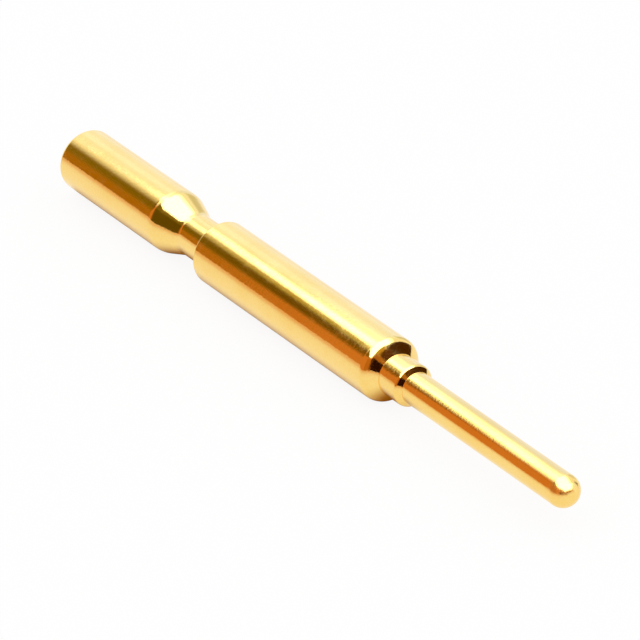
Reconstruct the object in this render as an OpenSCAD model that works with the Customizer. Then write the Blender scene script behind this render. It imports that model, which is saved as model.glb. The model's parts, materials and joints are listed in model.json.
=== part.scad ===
// Crimp contact pin: one piece, turned from round bar and plated with gold.
// Its axis lies along X, with the round tip towards +X and the wire mouth towards -X.
// The origin is on the axis, where the mating pin leaves the collar's front face.

/* [Mating pin] */
// Diameter of the mating pin and of its half-round tip
pin_d = 1.0; // [0.6:0.05:1.2]
// Length of the mating pin, from the collar to the end of the tip
pin_len = 7.7; // [4:0.05:12]

/* [Collar] */
// Diameter of the collar behind the mating pin
collar_d = 1.31; // [1.1:0.01:1.7]
// Length of the collar, from the root of the front shoulder to the mating pin
collar_len = 0.98; // [0.5:0.02:2.5]
// Rounding of the collar's front rim
collar_rim_r = 0.13; // [0.02:0.01:0.2]

/* [Body] */
// Diameter of the body, which fills its hole in the connector's insert
body_d = 2.03; // [1.8:0.01:2.6]
// Length of the body, from its rear shoulder to the root of its front shoulder
body_len = 9.42; // [5:0.02:14]
// Rounding of the front shoulder's rim
front_rim_r = 0.36; // [0.05:0.01:0.5]
// Angle by which the front shoulder and the collar's face slope back, to lead into an insert
face_slope = 45; // [0:1:55]
// Rounding of the rear shoulder's rim, which latch fingers bear on
rear_rim_r = 0.05; // [0.02:0.01:0.2]

/* [Neck] */
// Diameter of the neck that latch fingers close on
neck_d = 1.35; // [0.9:0.05:1.6]
// Length of the straight neck, from the rear shoulder to the cone
neck_len = 1.45; // [0.6:0.05:3]
// Length of the cone that leads from the neck up to the crimp barrel
cone_len = 1.0; // [0.4:0.05:2.5]

/* [Crimp barrel] */
// Outside diameter of the crimp barrel
barrel_d = 2.0; // [1.8:0.05:2.6]
// Length of the barrel, from its wire mouth to the cone
barrel_len = 5.35; // [3:0.05:9]
// Rounding of the barrel's outer rim at the mouth
mouth_rim_r = 0.12; // [0.02:0.01:0.15]

/* [Wire bore] */
// Diameter of the blind bore that takes the stripped wire
wire_bore_d = 1.4; // [0.8:0.05:1.6]
// Solid length between the end of the full bore and the start of the cone
bore_floor = 0.35; // [0.2:0.05:1.5]
// Point angle of the drill that makes the bore
drill_point_angle = 118; // [100:1:140]
// Depth of the 45 degree countersink that leads the wire's strands in
mouth_sink = 0.12; // [0.02:0.01:0.15]

/* [Inspection hole] */
// Diameter of the cross hole that shows whether the wire has reached the bore's end
sight_hole_d = 0.6; // [0.3:0.05:0.9]
// Distance from the end of the full bore back to the centre of the hole
sight_hole_inset = 0.65; // [0.5:0.05:2]
// Turn of the hole round the axis, from straight up towards +Y
sight_hole_turn = 80; // [0:5:355]

/* [Hidden] */
$fn = 96;

// Radii of the turned lengths and of the bore
pin_r = pin_d / 2;
collar_r = collar_d / 2;
body_r = body_d / 2;
neck_r = neck_d / 2;
barrel_r = barrel_d / 2;
bore_r = wire_bore_d / 2;

// Stations along the axis, counted from the collar's face
tip_centre = pin_len - pin_r;
front_shoulder = -collar_len;
rear_shoulder = front_shoulder - body_len;
cone_front = rear_shoulder - neck_len;
cone_rear = cone_front - cone_len;
mouth = cone_rear - barrel_len;
bore_end = cone_rear - bore_floor;
drill_tip = bore_end + bore_r / tan(drill_point_angle / 2);
sight_hole_at = bore_end - sight_hole_inset;

// Heights of the faces, and the most of a face's slanting width that its rim may take
collar_face = collar_r - pin_r;
front_face = body_r - collar_r;
rear_face = body_r - neck_r;
mouth_face = barrel_r - bore_r;
rim_share = 2 / 3;
mouth_share = 1 / 2;

// How far a rounding reaches from its corner under a face that slopes back, for a radius of 1
function rim_reach(slope) = tan((90 - slope) / 2);
// The largest rounding that a face of this height has room for
function rim_limit(face, slope) = rim_share * face / cos(slope) / rim_reach(slope);

// One length of the half section, from the axis out to r, with its rear and front rims rounded.
// In the section, X is the radius and Y runs along the axis.
// The front face slopes back from its root, which is at the inner radius.
module turned_length(from, to, r, inner, rear_round = 0, front_round = 0, slope = 0) {
    edge = to - (r - inner) * tan(slope);
    root = edge < to ? [[inner, to]] : [];
    difference() {
        polygon(concat([[0, to], [0, from], [r, from], [r, edge]], root));
        translate([r, from])
            mirror([0, 1])
                rim_waste(rear_round);
        translate([r, edge])
            rim_waste(front_round, slope);
    }
}

// The waste outside a rounded corner whose point is at the origin
module rim_waste(round_r, slope = 0) {
    reach = round_r * rim_reach(slope);
    if (round_r > 0)
        translate([-round_r, -reach])
            difference() {
                polygon(2 * [[0, 0], [round_r, 0], [round_r, reach], round_r * [sin(slope), cos(slope)]]);
                circle(round_r);
            }
}

// The half-round end of the mating pin
module tip_section() {
    translate([0, tip_centre])
        intersection() {
            circle(pin_r);
            square(pin_r);
        }
}

// The whole half section of the turned outside
module outside_section() {
    turned_length(mouth, cone_rear, barrel_r, barrel_r,
        rear_round = min(mouth_rim_r, mouth_share * mouth_face));
    polygon([[0, cone_rear], [barrel_r, cone_rear], [neck_r, cone_front], [0, cone_front]]);
    turned_length(cone_front, rear_shoulder, neck_r, neck_r);
    turned_length(rear_shoulder, front_shoulder, body_r, collar_r,
        rear_round = min(rear_rim_r, rim_limit(rear_face, 0)),
        front_round = min(front_rim_r, rim_limit(front_face, face_slope)), slope = face_slope);
    turned_length(front_shoulder, 0, collar_r, pin_r,
        front_round = min(collar_rim_r, rim_limit(collar_face, face_slope)), slope = face_slope);
    turned_length(0, tip_centre, pin_r, pin_r);
    tip_section();
}

// The half section of the drilled bore, with its countersunk mouth and drill point
module bore_section() {
    sink = min(mouth_sink, mouth_share * mouth_face);
    polygon([
        [0, mouth],
        [bore_r + sink, mouth],
        [bore_r, mouth + sink],
        [bore_r, bore_end],
        [0, drill_tip]
    ]);
}

// Turns a half section round the X axis
module turn() {
    rotate([0, 90, 0])
        rotate_extrude()
            children();
}

module inspection_hole() {
    translate([sight_hole_at, 0, 0])
        rotate([-sight_hole_turn, 0, 0])
            cylinder(d = sight_hole_d, h = barrel_d);
}

module contact_pin() {
    color("gold")
        difference() {
            turn()
                outside_section();
            turn()
                bore_section();
            inspection_hole();
        }
}

contact_pin();
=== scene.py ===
"""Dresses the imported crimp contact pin: a finely turned, gold-plated piece on a pale studio table."""

import json
import math
from typing import NamedTuple

import bmesh
import bpy
from bpy.props import FloatProperty, FloatVectorProperty, IntProperty, PointerProperty
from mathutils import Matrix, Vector


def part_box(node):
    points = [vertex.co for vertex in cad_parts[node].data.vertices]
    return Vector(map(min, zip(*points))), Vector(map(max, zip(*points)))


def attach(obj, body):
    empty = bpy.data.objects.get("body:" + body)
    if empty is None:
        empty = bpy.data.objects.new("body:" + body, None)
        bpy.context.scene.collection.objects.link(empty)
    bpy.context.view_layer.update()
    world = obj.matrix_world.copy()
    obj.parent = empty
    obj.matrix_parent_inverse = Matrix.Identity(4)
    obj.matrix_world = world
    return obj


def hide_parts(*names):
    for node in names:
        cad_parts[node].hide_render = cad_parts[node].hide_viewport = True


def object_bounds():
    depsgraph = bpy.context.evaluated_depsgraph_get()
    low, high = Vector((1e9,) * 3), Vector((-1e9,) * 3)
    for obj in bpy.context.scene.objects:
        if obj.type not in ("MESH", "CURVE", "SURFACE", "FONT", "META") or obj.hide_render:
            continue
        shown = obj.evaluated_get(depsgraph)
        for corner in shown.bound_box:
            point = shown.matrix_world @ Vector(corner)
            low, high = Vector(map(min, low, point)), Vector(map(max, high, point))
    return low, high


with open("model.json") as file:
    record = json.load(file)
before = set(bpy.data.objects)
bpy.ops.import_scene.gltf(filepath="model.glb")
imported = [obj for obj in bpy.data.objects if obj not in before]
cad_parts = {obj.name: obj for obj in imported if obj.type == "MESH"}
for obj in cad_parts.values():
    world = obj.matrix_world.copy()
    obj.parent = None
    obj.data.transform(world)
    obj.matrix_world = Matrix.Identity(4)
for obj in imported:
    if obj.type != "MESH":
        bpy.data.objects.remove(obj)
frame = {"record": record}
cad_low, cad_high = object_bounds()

bl_info = {
    "name": "Crimp contact pin",
    "version": (1, 0, 0),
    "blender": (4, 5, 0),
    "location": "View3D > Sidebar > Contact",
    "description": "Makes a turned, gold-plated crimp contact pin and its studio table",
    "category": "Object",
}

MM = 0.001
WHITE = (1.0, 1.0, 1.0, 1.0)
NODE = "contact_pin"
mounts = {mount["name"]: mount for mount in frame["record"]["mounts"]}
PIN_RADIUS = mounts["mating_pin"]["dims"]["r_mm"] * MM
BODY_RADIUS = mounts["insert_seat"]["dims"]["r_mm"] * MM
BORE_RADIUS = mounts["wire_bore"]["dims"]["r_mm"] * MM
BORE_END = mounts["wire_bore"]["pos_m"][0] + mounts["wire_bore"]["dims"]["length_mm"] * MM / 2
TIP_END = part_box(NODE)[1].x
MOUTH_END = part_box(NODE)[0].x


def length(name, description, default):
    """A property that holds a length in metres."""
    return FloatProperty(name=name, description=description, default=default, min=0.0,
                         precision=6, subtype="DISTANCE", unit="LENGTH")


def colour(name, description, default):
    """A property that holds a linear colour."""
    return FloatVectorProperty(name=name, description=description, default=default, size=3,
                               min=0.0, soft_max=1.0, subtype="COLOR")


def share(name, description, default):
    """A property that holds a plain number."""
    return FloatProperty(name=name, description=description, default=default, min=0.0, precision=4)


def turn(name, description, default):
    """A property that holds an angle, given here in degrees."""
    return FloatProperty(name=name, description=description, default=math.radians(default),
                         subtype="ANGLE", unit="ROTATION")


class ContactSizes(bpy.types.PropertyGroup):
    """Sizes of the turned contact, as the solid model has them.

    Only the crown of the front face, the roots and the cone's two radii are too fine for that model.
    """

    pin_r: length("Pin radius", "Radius of the mating pin and its half-round tip", PIN_RADIUS)
    pin_len: length("Pin length", "From the collar to the end of the tip", TIP_END)
    collar_r: length("Collar radius", "Radius of the collar behind the pin", 0.655 * MM)
    collar_len: length("Collar length", "From the front shoulder's root to the pin", 0.98 * MM)
    collar_rim_r: length("Collar rim", "Rounding of the collar's front rim", 0.13 * MM)
    body_r: length("Body radius", "Radius of the body", BODY_RADIUS)
    body_len: length("Body length", "Between the two shoulders' roots", 9.42 * MM)
    front_rim_r: length("Front rim", "Rounding of the front shoulder's rim", 0.36 * MM)
    face_slope: turn("Face slope", "Angle by which the front faces slope back", 45)
    face_crown: turn("Face crown", "Angle by which each half of the front face leans off its slope", 2.5)
    crown_r: length("Crown radius", "Radius of the front face's slight bulge", 2.4 * MM)
    rear_rim_r: length("Rear rim", "Rounding of the rear shoulder's rim", 0.05 * MM)
    neck_r: length("Neck radius", "Radius of the latch neck", 0.675 * MM)
    neck_len: length("Neck length", "From the rear shoulder to the cone", 1.45 * MM)
    cone_len: length("Cone length", "From the neck up to the barrel", 1.0 * MM)
    barrel_r: length("Barrel radius", "Outer radius of the crimp barrel", 1.0 * MM)
    mouth_rim_r: length("Mouth rim", "Rounding of the barrel's outer rim", 0.12 * MM)
    bore_r: length("Bore radius", "Radius of the blind wire bore", BORE_RADIUS)
    bore_floor: length("Bore floor", "From the end of the full bore to the cone", 0.35 * MM)
    mouth_sink: length("Countersink", "Depth of the 45 degree lead-in of the bore", 0.12 * MM)
    drill_point: turn("Drill point", "Point angle of the drill that makes the bore", 118)
    sight_hole_r: length("Sight hole radius", "Radius of the inspection hole", 0.3 * MM)
    sight_hole_inset: length("Sight hole inset", "From the end of the full bore to the hole", 0.65 * MM)
    sight_hole_turn: turn("Sight hole turn", "From straight up towards +Y", 80)
    root_r: length("Root radius", "Radius that the tool leaves in an inside corner", 0.004 * MM)
    cone_front_r: length("Cone front", "Radius at which the neck runs into the cone", 0.9 * MM)
    cone_rear_r: length("Cone rear", "Radius at which the cone runs into the barrel", 1.1 * MM)
    facets: IntProperty(name="Facets", description="Facets round the axis", default=192, min=96)


class GoldFinish(bpy.types.PropertyGroup):
    """The gold plating's look."""

    gold: colour("Gold", "Colour of the plating", (0.972, 0.7, 0.232))
    gold_red: colour("Redder gold", "Colour where the plating is thin", (0.955, 0.64, 0.175))
    polish: share("Polish", "Roughness of the brightest places", 0.07)
    haze: share("Haze", "Roughness that hazy places add", 0.06)
    tip_wear: share("Tip wear", "Roughness that tumbling and mating add to the tip", 0.13)
    bore_rough: share("Bore roughness", "Roughness that the drill adds to the bore", 0.33)
    bore_dull: share("Bore dullness",
                     "Share of the bore's wall that scatters light instead of mirroring", 0.4)
    ring_pitch: length("Ring pitch", "Mean spacing of the turning rings", 0.06 * MM)
    ring_depth: length("Ring depth", "Depth of the turning rings", 0.00025 * MM)
    grain_size: length("Grain size", "Mean width of the plating's grain", 0.07 * MM)
    grain_depth: length("Grain depth", "Depth of the plating's grain", 0.0015 * MM)


class StudioSetup(bpy.types.PropertyGroup):
    """The table, the panels round it and the camera."""

    floor_colour: colour("Table", "Colour of the pale table top", (0.95, 0.95, 0.95))
    floor_glow: share("Table glow", "Share of the table top that light comes through", 0.9)
    floor_size: length("Table size", "Half the width of the table top", 0.9)
    pipe_r: length("Panel distance", "Distance of the studio panels from the axis", 0.25)
    azimuth: turn("Azimuth", "Camera's turn round the object", 56.67)
    elevation: turn("Elevation", "Camera's height above the table, as an angle", 27.18)
    distance: length("Distance", "From the camera to the point that it looks at", 161.72 * MM)
    lens: share("Lens", "Focal length in millimetres on a 36 mm sensor", 308.92)
    target: FloatVectorProperty(name="Target", description="Point that the camera looks at", size=3,
                                default=(-5.774 * MM, 0.503 * MM, -0.425 * MM), precision=6,
                                subtype="XYZ", unit="LENGTH")


class Value:
    """A socket in a node tree. Its operators add Math nodes."""

    def __init__(self, tree, socket):
        self.tree = tree
        self.socket = socket

    def math(self, operation, first, second=0.0):
        node = add_node(self.tree, "ShaderNodeMath", {"operation": operation}, {0: first, 1: second})
        return Value(self.tree, node.outputs[0])

    def __add__(self, other):
        return self.math("ADD", self, other)

    __radd__ = __add__

    def __sub__(self, other):
        return self.math("SUBTRACT", self, other)

    def __rsub__(self, other):
        return self.math("SUBTRACT", other, self)

    def __mul__(self, other):
        return self.math("MULTIPLY", self, other)

    __rmul__ = __mul__

    def __truediv__(self, other):
        return self.math("DIVIDE", self, other)

    def __rtruediv__(self, other):
        return self.math("DIVIDE", other, self)

    def __pow__(self, other):
        return self.math("POWER", self, other)

    def __abs__(self):
        return self.math("ABSOLUTE", self)


def add_node(tree, kind, settings, inputs):
    """Adds a node, sets its settings, then gives its sockets their values or links."""
    node = tree.nodes.new(kind)
    for name, setting in settings.items():
        setattr(node, name, setting)
    for key, given in inputs.items():
        socket = node.inputs[key]
        if isinstance(given, Value):
            tree.links.new(given.socket, socket)
        elif isinstance(given, bpy.types.NodeSocket):
            tree.links.new(given, socket)
        else:
            socket.default_value = given
    return node


def output(node, name=0):
    """One of a node's outputs, wrapped for shader maths."""
    return Value(node.id_data, node.outputs[name])


def smooth_step(tree, value, low, high):
    """Rises smoothly from 0 at low to 1 at high."""
    node = add_node(tree, "ShaderNodeMapRange", {"interpolation_type": "SMOOTHSTEP"},
                    {"Value": value, "From Min": low, "From Max": high})
    return output(node, "Result")


def noise(tree, point, scale, detail, roughness=0.5):
    """Noise in space, with its scale per metre."""
    node = add_node(tree, "ShaderNodeTexNoise", {},
                    {"Vector": point, "Scale": scale, "Detail": detail, "Roughness": roughness})
    return output(node)


def mix_colours(tree, factor, first, second):
    """Runs from the first colour at a factor of 0 to the second at 1."""
    node = add_node(tree, "ShaderNodeMix", {"data_type": "RGBA"},
                    {"Factor": factor, "A": first, "B": second})
    return output(node, "Result")


def new_material(name):
    """A material whose node tree holds only its output."""
    material = bpy.data.materials.new(name)
    material.use_nodes = True
    tree = material.node_tree
    tree.nodes.clear()
    end = tree.nodes.new("ShaderNodeOutputMaterial")
    return material, tree, end.inputs["Surface"]


# The plating's patterns: their scale per metre, and the levels of their noise from none to full
THIN_SCALE = 450.0
THIN_LEVELS = (0.42, 0.68)
HAZE_SCALE = 2600.0
HAZE_LEVELS = (0.45, 0.75)
SPECK_LEVELS = (0.35, 0.65)
# The normal's share along the axis, from a round length to a face
FACE_LEVELS = (0.6, 0.8)
# What the turning rings add to the roughness, and the haze to the rings' relief
RING_ROUGHNESS = 0.02
HAZE_RELIEF = 0.6
# Where the worn tip starts, and where the drilled wall and the drilled length end
WEAR_FADE = (TIP_END - 1.5 * PIN_RADIUS, TIP_END - 0.8 * PIN_RADIUS)
BORE_WALL_FADE = (BORE_RADIUS, 1.05 * BORE_RADIUS)
BORE_END_FADE = (BORE_END + 0.65 * BORE_RADIUS, BORE_END + 0.85 * BORE_RADIUS)


def gold_material(finish):
    """Bright gold plating over fine turning rings, worn at the tip and dull in the bore."""
    material, tree, surface = new_material("gold_plating")
    place = add_node(tree, "ShaderNodeTexCoord", {}, {})
    point = output(place, "Object")
    split = add_node(tree, "ShaderNodeSeparateXYZ", {}, {0: point})
    along, side, up = output(split, "X"), output(split, "Y"), output(split, "Z")
    radius = (side * side + up * up) ** 0.5

    # The tool travels along the axis on a round length and along the radius on a face
    facing = add_node(tree, "ShaderNodeSeparateXYZ", {}, {0: output(place, "Normal")})
    on_face = smooth_step(tree, abs(output(facing, "X")), *FACE_LEVELS)
    travel = along + (radius - along) * on_face
    rings = add_node(tree, "ShaderNodeTexNoise", {"noise_dimensions": "1D"},
                     {"W": travel / finish.ring_pitch, "Scale": 1.0, "Detail": 2.0, "Roughness": 0.6})
    ring = output(rings)

    # The plating's thickness drifts slowly, a light haze lies on it in patches, and it has a fine grain
    thin = smooth_step(tree, noise(tree, point, THIN_SCALE, detail=3.0), *THIN_LEVELS)
    hazy = smooth_step(tree, noise(tree, point, HAZE_SCALE, detail=4.0, roughness=0.65), *HAZE_LEVELS)
    grain = noise(tree, point, 1 / finish.grain_size, detail=2.0)
    speck = smooth_step(tree, grain, *SPECK_LEVELS)
    tone = mix_colours(tree, (thin + speck) / 2, (*finish.gold, 1.0), (*finish.gold_red, 1.0))

    # Wear smooths the grain off the tip, and the drill leaves the bore dull up to its point
    worn = smooth_step(tree, along, *WEAR_FADE)
    within = 1 - smooth_step(tree, radius, *BORE_WALL_FADE)
    behind = 1 - smooth_step(tree, along, *BORE_END_FADE)
    drilled = within * behind

    roughness = finish.polish + finish.haze * hazy + RING_ROUGHNESS * ring
    roughness = roughness + finish.tip_wear * worn + finish.bore_rough * drilled
    relief = finish.ring_depth * (ring + HAZE_RELIEF * hazy) + finish.grain_depth * grain * (1 - worn)
    bump = add_node(tree, "ShaderNodeBump", {}, {"Strength": 1.0, "Distance": 1.0, "Height": relief})
    gold = add_node(tree, "ShaderNodeBsdfPrincipled", {},
                    {"Base Color": tone, "Metallic": 1 - finish.bore_dull * drilled,
                     "Roughness": roughness, "Normal": bump.outputs["Normal"]})
    tree.links.new(gold.outputs[0], surface)
    return material


def arc(centre, radius, start, end, steps):
    """Points of an arc in the half section, from one angle to another, in degrees from +X."""
    points = []
    for step in range(steps + 1):
        angle = math.radians(start + (end - start) * step / steps)
        points.append((centre[0] + radius * math.cos(angle), centre[1] + radius * math.sin(angle)))
    return points


# Distance of the first and last row from a straight length's ends, and its largest share of the length
HOLD = 0.012 * MM
HOLD_LIMIT = 0.25
ROW_STEP = 0.45 * MM


def straight(start, end, rows=0):
    """Points between two ends of a straight length, with a row close to each end to hold its normals."""
    span = math.dist(start, end)
    hold = min(HOLD, span * HOLD_LIMIT)
    count = rows or max(1, round(span / ROW_STEP))
    shares = [hold / span]
    shares += [step / count for step in range(1, count)]
    shares.append(1 - hold / span)
    return [(start[0] + (end[0] - start[0]) * way, start[1] + (end[1] - start[1]) * way)
            for way in shares]


ARC_STEP = math.radians(3)
LEAST_STEPS = 8


def rounded_corner(before, corner, after, radius):
    """An arc that joins two straight lengths of the half section at their corner."""
    into = (Vector(corner) - Vector(before)).normalized()
    out = (Vector(after) - Vector(corner)).normalized()
    bend = into.angle_signed(out)
    cut = radius * math.tan(abs(bend) / 2)
    first = Vector(corner) - into * cut
    towards = Vector((-into.y, into.x)) * (-1 if bend > 0 else 1)
    centre = first + towards * radius
    spoke = first - centre
    steps = max(LEAST_STEPS, round(abs(bend) / ARC_STEP))
    points = []
    for step in range(steps + 1):
        angle = -bend * step / steps
        points.append((centre.x + spoke.x * math.cos(angle) - spoke.y * math.sin(angle),
                       centre.y + spoke.x * math.sin(angle) + spoke.y * math.cos(angle)))
    return points


def turned_profile(corners):
    """Points of the half section along a run of corners, each of them rounded by its own radius."""
    points = []
    last = corners[0][0]
    for (before, _), (corner, radius), (after, _) in zip(corners, corners[1:], corners[2:]):
        bend = rounded_corner(before, corner, after, radius)
        points += straight(last, bend[0])
        points += bend
        last = bend[-1]
    points += straight(last, corners[-1][0])
    return points


class Lathe:
    """Gathers the rows of a turned shape, from the tip round to the end of the bore."""

    def __init__(self, facets, start_angle):
        self.facets = facets
        self.angles = [start_angle + 2 * math.pi * k / facets for k in range(facets)]
        self.points = []
        self.rows = []
        self.faces = []
        self.sharp = []

    def add_point(self, x, radius, angle):
        self.points.append((x, radius * math.sin(angle), radius * math.cos(angle)))
        return len(self.points) - 1

    def add_row(self, x, radius):
        self.rows.append([self.add_point(x, radius, angle) for angle in self.angles])

    def add_rows(self, points):
        for x, radius in points:
            self.add_row(x, radius)

    def mark_sharp(self):
        """The last row is an edge that a tool leaves sharp."""
        self.sharp.append(self.rows[-1])

    def cell(self, row, k):
        """The four corners of one facet between two rows."""
        upper, lower = self.rows[row], self.rows[row + 1]
        after = (k + 1) % self.facets
        return (upper[k % self.facets], upper[after], lower[after], lower[k % self.facets])

    def close(self, windows, ends):
        """Makes the facets, apart from those in the windows, and closes both ends to a point."""
        skipped = {(row, k % self.facets) for window in windows for row, k in window}
        for row in range(len(self.rows) - 1):
            for k in range(self.facets):
                if (row, k) not in skipped:
                    self.faces.append(self.cell(row, k))
        for row, x in zip((self.rows[0], self.rows[-1]), ends):
            pole = self.add_point(x, 0.0, 0.0)
            for k in range(self.facets):
                self.faces.append((row[k], row[(k + 1) % self.facets], pole))

    def strip(self, first, second):
        """Joins two closed loops of points by facets."""
        count = len(first)
        for i in range(count):
            after = (i + 1) % count
            self.faces.append((first[i], first[after], second[after], second[i]))


def window_loop(lathe, rows, half):
    """The points round a window, from the middle of its +X side towards +Y, and its facets."""
    ordered = sorted(rows, key=lambda row: -lathe.points[lathe.rows[row][0]][0])
    front, rear = ordered[0], ordered[-1]
    loop = [(front, k) for k in range(half)]
    loop += [(row, half) for row in ordered[:-1]]
    loop += [(rear, k) for k in range(half, -half, -1)]
    loop += [(row, -half) for row in reversed(ordered[1:])]
    loop += [(front, k) for k in range(-half, 0)]
    points = [lathe.rows[row][k % lathe.facets] for row, k in loop]
    turns = [k * 2 * math.pi / lathe.facets for _, k in loop]
    cells = [(row, k) for row in sorted(rows)[:-1] for k in range(-half, half)]
    return points, turns, cells


# Rings from a window in to its hole, as shares of the way out from the hole's rim
RING_SHARES = (0.7, 0.42, 0.2, 0.06, 0.0)


def hole_rings(lathe, loop, turns, wall_r, hole_x, hole_r, hole_turn):
    """Rings of facets between a window in a round wall and the rim of a drilled hole in it."""
    count = len(loop)
    last = loop
    for ring_share in RING_SHARES:
        ring = []
        for i, (outer, outer_turn) in enumerate(zip(loop, turns)):
            angle = 2 * math.pi * i / count
            rim_x = hole_x + hole_r * math.cos(angle)
            rim_turn = math.asin(hole_r * math.sin(angle) / wall_r)
            x = rim_x + (lathe.points[outer][0] - rim_x) * ring_share
            around = rim_turn + (outer_turn - rim_turn) * ring_share
            ring.append(lathe.add_point(x, wall_r, hole_turn + around))
        lathe.strip(last, ring)
        last = ring
    return last


# Numbers of rows along the turned shape
TIP_STEPS = 28
RIM_STEPS = 14
MOUTH_ROWS = 2
SINK_ROWS = 3
BORE_END_ROWS = 4
DRILL_POINT_ROWS = 6
# Rows of the windows that the inspection hole is set in, and half their length
OUTER_WINDOW = 36
INNER_WINDOW = 26
WINDOW_REACH = 0.4 * MM


def turned_contact(sizes):
    """The whole contact as one closed mesh: outside, bore and inspection hole."""
    s = sizes
    slope = math.tan(s.face_slope)
    collar_edge = -(s.collar_r - s.pin_r) * slope
    front_shoulder = -s.collar_len
    front_edge = front_shoulder - (s.body_r - s.collar_r) * slope
    # The front face bulges a little, with its crown halfway up
    half_face = (s.body_r - s.collar_r) / math.cos(s.face_slope) / 2
    bulge = half_face * math.tan(s.face_crown)
    crown = ((front_shoulder + front_edge) / 2 + bulge * math.cos(s.face_slope),
             (s.collar_r + s.body_r) / 2 + bulge * math.sin(s.face_slope))
    rear_shoulder = front_shoulder - s.body_len
    cone_front = rear_shoulder - s.neck_len
    cone_rear = cone_front - s.cone_len
    mouth = MOUTH_END
    bore_end = cone_rear - s.bore_floor
    drill_tip = bore_end + s.bore_r / math.tan(s.drill_point / 2)
    hole_x = bore_end - s.sight_hole_inset
    tip_centre = s.pin_len - s.pin_r

    lathe = Lathe(s.facets, s.sight_hole_turn)

    # Outside, from the tip back to the window that the inspection hole is set in
    window_front, window_rear = hole_x + WINDOW_REACH, hole_x - WINDOW_REACH
    lathe.add_rows(arc((tip_centre, 0.0), s.pin_r, 0, 90, TIP_STEPS)[1:])
    lathe.add_rows(turned_profile((
        ((tip_centre, s.pin_r), 0.0),
        ((0.0, s.pin_r), s.root_r),
        ((collar_edge, s.collar_r), s.collar_rim_r),
        ((front_shoulder, s.collar_r), s.root_r),
        (crown, s.crown_r),
        ((front_edge, s.body_r), s.front_rim_r),
        ((rear_shoulder, s.body_r), s.rear_rim_r),
        ((rear_shoulder, s.neck_r), s.root_r),
        ((cone_front, s.neck_r), s.cone_front_r),
        ((cone_rear, s.barrel_r), s.cone_rear_r),
        ((window_front, s.barrel_r), 0.0),
    )))

    # Barrel, with the rows of that window
    mouth_rim = mouth + s.mouth_rim_r
    outer_first = len(lathe.rows)
    for step in range(OUTER_WINDOW + 1):
        lathe.add_row(window_front + (window_rear - window_front) * step / OUTER_WINDOW, s.barrel_r)
    outer_rows = range(outer_first, len(lathe.rows))
    lathe.add_rows(straight((window_rear, s.barrel_r), (mouth_rim, s.barrel_r)))
    lathe.add_rows(arc((mouth_rim, s.barrel_r - s.mouth_rim_r), s.mouth_rim_r, 90, 180, RIM_STEPS))

    # Mouth, bore and drill point
    sink_r = s.bore_r + s.mouth_sink
    lathe.add_rows(straight((mouth, s.barrel_r - s.mouth_rim_r), (mouth, sink_r), rows=MOUTH_ROWS))
    lathe.add_row(mouth, sink_r)
    lathe.mark_sharp()
    sink_end = mouth + s.mouth_sink
    lathe.add_rows(straight((mouth, sink_r), (sink_end, s.bore_r), rows=SINK_ROWS))
    lathe.add_row(sink_end, s.bore_r)
    lathe.mark_sharp()
    lathe.add_rows(straight((sink_end, s.bore_r), (window_rear, s.bore_r)))
    inner_first = len(lathe.rows)
    for step in range(INNER_WINDOW + 1):
        lathe.add_row(window_rear + (window_front - window_rear) * step / INNER_WINDOW, s.bore_r)
    inner_rows = range(inner_first, len(lathe.rows))
    lathe.add_rows(straight((window_front, s.bore_r), (bore_end, s.bore_r), rows=BORE_END_ROWS))
    lathe.add_row(bore_end, s.bore_r)
    lathe.mark_sharp()
    lathe.add_rows(straight((bore_end, s.bore_r), (drill_tip, 0.0), rows=DRILL_POINT_ROWS))

    # Inspection hole: both windows have as many points, so the drilled wall joins them one to one
    outer_loop, outer_turns, outer_cells = window_loop(lathe, outer_rows, INNER_WINDOW // 2)
    inner_loop, inner_turns, inner_cells = window_loop(lathe, inner_rows, OUTER_WINDOW // 2)
    lathe.close((outer_cells, inner_cells), (s.pin_len, drill_tip))
    hole = (hole_x, s.sight_hole_r, s.sight_hole_turn)
    outer_rim = hole_rings(lathe, outer_loop, outer_turns, s.barrel_r, *hole)
    inner_rim = hole_rings(lathe, inner_loop, inner_turns, s.bore_r, *hole)
    lathe.strip(outer_rim, inner_rim)
    lathe.sharp += [outer_rim, inner_rim]
    return lathe


def mesh_object(name, points, faces):
    """A new mesh object in the scene."""
    mesh = bpy.data.meshes.new(name)
    mesh.from_pydata(points, [], faces)
    made = bpy.data.objects.new(name, mesh)
    bpy.context.scene.collection.objects.link(made)
    return made


def finish_mesh(made, sharp_loops):
    """Clears points that no facet uses, turns the facets outwards and marks the sharp edges."""
    work = bmesh.new()
    work.from_mesh(made.data)
    work.verts.ensure_lookup_table()
    for loop in sharp_loops:
        for first, second in zip(loop, [*loop[1:], loop[0]]):
            edge = work.edges.get((work.verts[first], work.verts[second]))
            if edge is None:
                raise RuntimeError("a sharp edge of the contact is missing from its mesh")
            edge.smooth = False
    loose = [point for point in work.verts if not point.link_faces]
    bmesh.ops.delete(work, geom=loose, context="VERTS")
    bmesh.ops.recalc_face_normals(work, faces=work.faces)
    for face in work.faces:
        face.smooth = True
    open_edges = [edge for edge in work.edges if not edge.is_manifold]
    if open_edges:
        raise RuntimeError(f"the contact's mesh has {len(open_edges)} open edges")
    work.to_mesh(made.data)
    work.free()


class CONTACT_OT_make_pin(bpy.types.Operator):
    """Makes the turned and gold-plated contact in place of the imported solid"""

    bl_idname = "contact.make_pin"
    bl_label = "Make contact pin"

    def execute(self, context):
        scene = context.scene
        lathe = turned_contact(scene.contact_sizes)
        piece = mesh_object("turned_contact", lathe.points, lathe.faces)
        finish_mesh(piece, lathe.sharp)
        piece.data.materials.append(gold_material(scene.contact_finish))
        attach(piece, "root")
        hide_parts(NODE)
        return {"FINISHED"}


FLOOR_GRAIN = 60.0
FLOOR_GREY = 0.99
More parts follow.
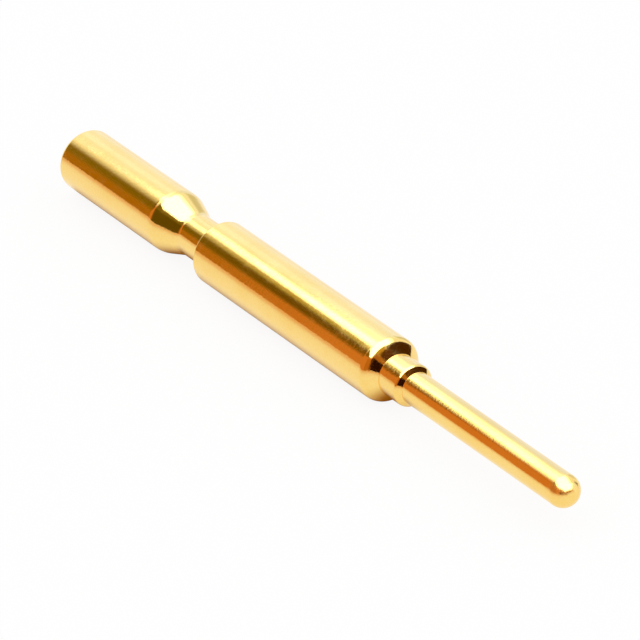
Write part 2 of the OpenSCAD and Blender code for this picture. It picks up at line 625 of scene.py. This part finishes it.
# The strip of the table painted a brown shade in the metal's mirror: where it fades out beside, ahead of
# and behind the contact
PAINTED_SHADE_COLOUR = (0.56, 0.33, 0.06)
SHADE_SIDE = (0.2 * MM, 1.45 * MM)
SHADE_FRONT = (-1.2 * MM, 0.5 * MM)
SHADE_REAR = (-18.6 * MM, -18.0 * MM)


def floor_material(studio):
    """A pale table top that light comes through, so its shadows are faint.

    The camera sees it white. In the metal's mirror, close under the contact, it loses its glow so that
    its real shadow shows, and it is painted a brown shade.
    """
    material, tree, surface = new_material("pale_table")
    place = add_node(tree, "ShaderNodeTexCoord", {}, {})
    point = output(place, "Object")
    greyer = [level * FLOOR_GREY for level in studio.floor_colour]
    grain = noise(tree, point, FLOOR_GRAIN, detail=3.0)
    plain = mix_colours(tree, grain, (*studio.floor_colour, 1.0), (*greyer, 1.0))
    split = add_node(tree, "ShaderNodeSeparateXYZ", {}, {0: point})
    along, side = output(split, "X"), output(split, "Y")
    beneath = 1 - smooth_step(tree, abs(side), *SHADE_SIDE)
    behind_front = 1 - smooth_step(tree, along, *SHADE_FRONT)
    ahead_of_rear = smooth_step(tree, along, *SHADE_REAR)
    rays = add_node(tree, "ShaderNodeLightPath", {}, {})
    mirrored = 1 - output(rays, "Is Camera Ray")
    shaded = beneath * behind_front * ahead_of_rear * mirrored
    # Close under the contact the mirror sees the top painted a brown shade, and the glow drops away so
    # that its real shadow shows
    top = add_node(tree, "ShaderNodeBsdfDiffuse", {},
                   {"Color": mix_colours(tree, shaded, plain, (*PAINTED_SHADE_COLOUR, 1.0))})
    glow = add_node(tree, "ShaderNodeEmission", {}, {"Color": WHITE, "Strength": 1.0})
    mixed = add_node(tree, "ShaderNodeMixShader", {},
                     {0: studio.floor_glow * (1 - shaded), 1: top.outputs[0], 2: glow.outputs[0]})
    tree.links.new(mixed.outputs[0], surface)
    return material


def panel_material(name, light, soft):
    """A plain lit panel that fades out towards its edges."""
    material, tree, surface = new_material(name)
    place = add_node(tree, "ShaderNodeUVMap", {"uv_map": "panel"}, {})
    split = add_node(tree, "ShaderNodeSeparateXYZ", {}, {0: output(place)})
    across, along = output(split, "X"), output(split, "Y")
    cover = 1.0
    for inwards, edge in zip((across, 1 - across, along, 1 - along), soft):
        if edge:
            cover = cover * smooth_step(tree, inwards, 0.0, edge)
    glow = add_node(tree, "ShaderNodeEmission", {}, {"Color": (*light, 1.0), "Strength": 1.0})
    clear = add_node(tree, "ShaderNodeBsdfTransparent", {}, {})
    mixed = add_node(tree, "ShaderNodeMixShader", {},
                     {0: cover, 1: clear.outputs[0], 2: glow.outputs[0]})
    tree.links.new(mixed.outputs[0], surface)
    return material


PANEL_CELLS = 24


class StudioPanel(NamedTuple):
    """A curved panel round the contact's axis.

    The distance is a share of the studio's panel distance. Turns run from straight up towards +Y, in
    degrees, and reach runs along the axis, in metres. The reach at the low turn may run over to
    another one at the high turn. The soft edges are the shares of the panel that fade out at its
    low, high, rear and front side.
    """

    name: str
    distance: float
    turns: tuple
    reach: tuple
    light: tuple
    soft: tuple = (0.0, 0.0, 0.0, 0.0)
    reach_high: tuple = None


def white(level):
    """A white light of this level."""
    return (level, level, level)


# The lights: white panels overhead and near the tip, and paler ones behind the contact
LIGHTS = (
    StudioPanel("overhead_strip", 1.0, (-28, 13), (-0.3015, 0.1), white(3.9),
                soft=(0.54, 0.41, 0.015, 0.1)),
    StudioPanel("overhead_low", 0.99, (-50, -27), (0.03, 0.14), white(4.0),
                soft=(0.1, 0.0, 0.2, 0.1), reach_high=(-0.2, 0.14)),
    StudioPanel("overhead_light", 0.99, (-27, 42), (-0.2, 0.14), white(4.0),
                soft=(0.0, 0.35, 0.2, 0.1)),
    StudioPanel("pin_light", 0.985, (-42, 44), (-0.27, -0.2), white(2.75),
                soft=(0.42, 0.5, 0.1, 0.2)),
    StudioPanel("tip_light", 0.044, (-50, 50), (0.0121, 0.0327), white(4.0),
                soft=(0.1, 0.1, 0.0, 0.1)),
    StudioPanel("back_light", 1.1, (-18, 88), (-0.6, 0.0), (1.02, 1.12, 1.33),
                soft=(0.1, 0.0, 0.0, 0.3)),
    StudioPanel("back_strip", 1.05, (12, 54), (-0.6, -0.25), (1.08, 1.25, 1.65),
                soft=(0.4, 0.4, 0.0, 0.08)),
)

# The cards and flags, each of which tints or darkens some of what the metal mirrors
FLAGS = (
    # For the body, the barrel, the neck and the cone
    StudioPanel("dark_flag", 0.98, (-66, -27), (-0.302, -0.2525), (0.14, 0.08, 0.0),
                soft=(0.4, 0.33, 0.2, 0.14)),
    StudioPanel("olive_card", 0.983, (-45, -13), (-0.302, -0.2525), (0.45, 0.36, 0.06),
                soft=(0.3, 0.42, 0.2, 0.14)),
    StudioPanel("barrel_flag", 0.985, (-72, -14), (-0.37, -0.28), (0.22, 0.145, 0.0),
                soft=(0.4, 0.5, 0.0, 0.05)),
    StudioPanel("barrel_card", 1.0, (-91, -50), (-0.37, -0.292), (0.38, 0.16, 0.0),
                soft=(0.0, 0.2, 0.0, 0.03)),
    StudioPanel("brown_card", 1.02, (-91, -30), (-0.37, 0.25), (0.64, 0.23, 0.05),
                soft=(0.0, 0.3, 0.0, 0.0)),
    StudioPanel("wedge_flag", 1.0, (-59, -27), (-0.2, 0.1), (0.2, 0.14, 0.01),
                soft=(0.1, 0.2, 0.0, 0.1), reach_high=(-0.2, -0.19)),
    StudioPanel("cone_flag", 0.96, (-92, -48), (-0.225, -0.03), (0.12, 0.075, 0.0),
                soft=(0.0, 0.1, 0.3, 0.06)),
    StudioPanel("side_card", 1.0, (56, 91), (0.05, 0.5), (0.8, 0.42, 0.2),
                soft=(0.3, 0.0, 0.15, 0.2)),
    StudioPanel("back_dim", 0.95, (50, 90), (-0.2, -0.06), (0.7, 0.72, 0.66),
                soft=(0.3, 0.0, 0.3, 0.3)),
    # For the sloped faces, which look ahead
    StudioPanel("end_flag_low", 0.9, (-92, -43), (0.14, 0.29), (0.02, 0.003, 0.0),
                soft=(0.0, 0.08, 0.06, 0.15), reach_high=(0.165, 0.33)),
    StudioPanel("end_card", 0.91, (-52, -20), (0.16, 0.32), (0.42, 0.16, 0.02),
                soft=(0.1, 0.15, 0.1, 0.15), reach_high=(0.155, 0.3)),
    StudioPanel("end_olive", 0.905, (-30, 15), (0.125, 0.205), (0.6, 0.36, 0.06),
                soft=(0.1, 0.3, 0.3, 0.0), reach_high=(0.08, 0.155)),
    StudioPanel("end_flag_mid", 0.9, (-27, 27), (0.192, 0.29), (0.1, 0.03, 0.002),
                soft=(0.1, 0.1, 0.12, 0.15), reach_high=(0.122, 0.2)),
    StudioPanel("end_flag_high", 0.91, (8, 89), (0.134, 0.215), (0.06, 0.02, 0.0),
                soft=(0.1, 0.0, 0.1, 0.15), reach_high=(-0.03, 0.045)),
    # Close round the tip and the front shoulder, so that little else mirrors them
    StudioPanel("tip_card", 0.24, (-91, -58), (0.07, 0.6), (0.3, 0.08, 0.0),
                soft=(0.0, 0.2, 0.05, 0.0)),
    StudioPanel("tip_arc_low", 0.042, (-58, 0), (0.0239, 0.09), (0.35, 0.11, 0.01),
                soft=(0.0, 0.0, 0.05, 0.2), reach_high=(0.0295, 0.09)),
    StudioPanel("tip_arc_high", 0.042, (0, 70), (0.0295, 0.09), (0.35, 0.11, 0.01),
                soft=(0.0, 0.2, 0.05, 0.2), reach_high=(0.02, 0.09)),
    StudioPanel("tip_top", 0.061, (36, 90), (0.0095, 0.0285), (1.0, 1.05, 1.2),
                soft=(0.1, 0.0, 0.0, 0.1)),
    StudioPanel("tip_low", 0.058, (-91, -48), (-0.0072, 0.009), (0.5, 0.17, 0.02),
                soft=(0.0, 0.15, 0.0, 0.0)),
    StudioPanel("tip_line", 0.061, (-78, -36), (0.0165, 0.04), (0.38, 0.13, 0.01),
                soft=(0.0, 0.15, 0.0, 0.0)),
    StudioPanel("shoulder_card", 0.04, (-91, -50), (-0.0098, -0.001), (0.64, 0.23, 0.05),
                soft=(0.0, 0.1, 0.0, 0.0)),
    # For the pin's far side
    StudioPanel("pin_dim", 0.97, (40, 90), (-0.262, -0.19), (0.9, 1.02, 1.38),
                soft=(0.3, 0.0, 0.1, 0.2)),
)


def mirrored_sheet(name, rows, light, soft):
    """A sheet between pairs of points, which the camera looks through and the metal mirrors."""
    points = [point for pair in rows for point in pair]
    faces = [(2 * i, 2 * i + 1, 2 * i + 3, 2 * i + 2) for i in range(len(rows) - 1)]
    sheet = mesh_object(name, points, faces)
    layer = sheet.data.uv_layers.new(name="panel")
    for corner in sheet.data.loops:
        row, end = divmod(corner.vertex_index, 2)
        layer.data[corner.index].uv = (row / (len(rows) - 1), end)
    sheet.data.materials.append(panel_material(name, light, soft))
    sheet.visible_camera = False
    sheet.visible_diffuse = False
    sheet.visible_shadow = False


def place_panel(studio, panel):
    """Makes a curved studio panel."""
    radius = panel.distance * studio.pipe_r
    reach_high = panel.reach_high or panel.reach
    rows = []
    for i in range(PANEL_CELLS + 1):
        across = i / PANEL_CELLS
        angle = math.radians(panel.turns[0] + (panel.turns[1] - panel.turns[0]) * across)
        ends = (low + (high - low) * across for low, high in zip(panel.reach, reach_high))
        rows.append([(x, radius * math.sin(angle), radius * math.cos(angle)) for x in ends])
    mirrored_sheet(panel.name, rows, panel.light, panel.soft)


TABLE_CARD_LIFT = 0.03 * MM
TABLE_CARD_NEAR = 1.0 * MM
TABLE_CARD_FADE = 12.0 * MM
TABLE_CARD_REACH = (-0.6, 0.25)
TABLE_CARD_LIGHT = (0.84, 0.57, 0.42)


def place_table_card(studio):
    """Makes a card that lies on the table from close beside the contact out to the panels."""
    level = cad_low.z + TABLE_CARD_LIFT
    sides = (-TABLE_CARD_NEAR, -studio.pipe_r)
    rows = [[(x, side, level) for x in TABLE_CARD_REACH] for side in sides]
    fade = TABLE_CARD_FADE / (studio.pipe_r - TABLE_CARD_NEAR)
    mirrored_sheet("table_card", rows, TABLE_CARD_LIGHT, (fade, 0.0, 0.0, 0.0))


def set_panels(studio):
    """The soft lights, and the cards and flags that the metal mirrors."""
    for panel in LIGHTS + FLAGS:
        place_panel(studio, panel)
    place_table_card(studio)


def set_world():
    """Plain white surroundings, at the level where white renders as white."""
    world = bpy.data.worlds.new("white_room")
    world.use_nodes = True
    bpy.context.scene.world = world
    tree = world.node_tree
    tree.nodes.clear()
    end = tree.nodes.new("ShaderNodeOutputWorld")
    room = add_node(tree, "ShaderNodeBackground", {}, {"Color": WHITE, "Strength": 1.0})
    tree.links.new(room.outputs[0], end.inputs["Surface"])


SENSOR_WIDTH = 36.0
CLIP_NEAR = 0.005
CLIP_FAR = 5.0


def set_camera(studio):
    """The camera, at the photograph's angle and distance."""
    data = bpy.data.cameras.new("photo_camera")
    data.lens = studio.lens
    data.sensor_width = SENSOR_WIDTH
    data.clip_start = CLIP_NEAR
    data.clip_end = CLIP_FAR
    camera = bpy.data.objects.new("photo_camera", data)
    bpy.context.scene.collection.objects.link(camera)
    azimuth, elevation = studio.azimuth, studio.elevation
    back = Vector((math.sin(azimuth) * math.cos(elevation),
                   -math.cos(azimuth) * math.cos(elevation),
                   math.sin(elevation)))
    camera.location = Vector(studio.target) + back * studio.distance
    camera.rotation_mode = "QUATERNION"
    camera.rotation_quaternion = (-back).to_track_quat("-Z", "Y")
    bpy.context.scene.camera = camera


class CONTACT_OT_set_stage(bpy.types.Operator):
    """Sets the pale table, the studio panels, the white room and the camera"""

    bl_idname = "contact.set_stage"
    bl_label = "Set stage"

    def execute(self, context):
        studio = context.scene.contact_studio
        level = cad_low.z
        half = studio.floor_size
        corners = [(-half, -half, level), (half, -half, level), (half, half, level), (-half, half, level)]
        floor = mesh_object("pale_table", corners, [(0, 1, 2, 3)])
        floor.data.materials.append(floor_material(studio))
        set_panels(studio)
        set_world()
        set_camera(studio)
        context.scene.view_settings.view_transform = "Standard"
        return {"FINISHED"}


class VIEW3D_PT_contact(bpy.types.Panel):
    """Lists the steps that make the contact and its stage"""

    bl_label = "Crimp contact pin"
    bl_space_type = "VIEW_3D"
    bl_region_type = "UI"
    bl_category = "Contact"

    def draw(self, context):
        layout = self.layout
        for made_by in (CONTACT_OT_make_pin, CONTACT_OT_set_stage):
            layout.operator(made_by.bl_idname)


CLASSES = (
    ContactSizes,
    GoldFinish,
    StudioSetup,
    CONTACT_OT_make_pin,
    CONTACT_OT_set_stage,
    VIEW3D_PT_contact,
)


def register():
    for each in CLASSES:
        bpy.utils.register_class(each)
    bpy.types.Scene.contact_sizes = PointerProperty(type=ContactSizes)
    bpy.types.Scene.contact_finish = PointerProperty(type=GoldFinish)
    bpy.types.Scene.contact_studio = PointerProperty(type=StudioSetup)


def unregister():
    del bpy.types.Scene.contact_studio
    del bpy.types.Scene.contact_finish
    del bpy.types.Scene.contact_sizes
    for each in reversed(CLASSES):
        bpy.utils.unregister_class(each)


def main():
    register()
    bpy.ops.contact.make_pin()
    bpy.ops.contact.set_stage()


if __name__ == "__main__":
    main()
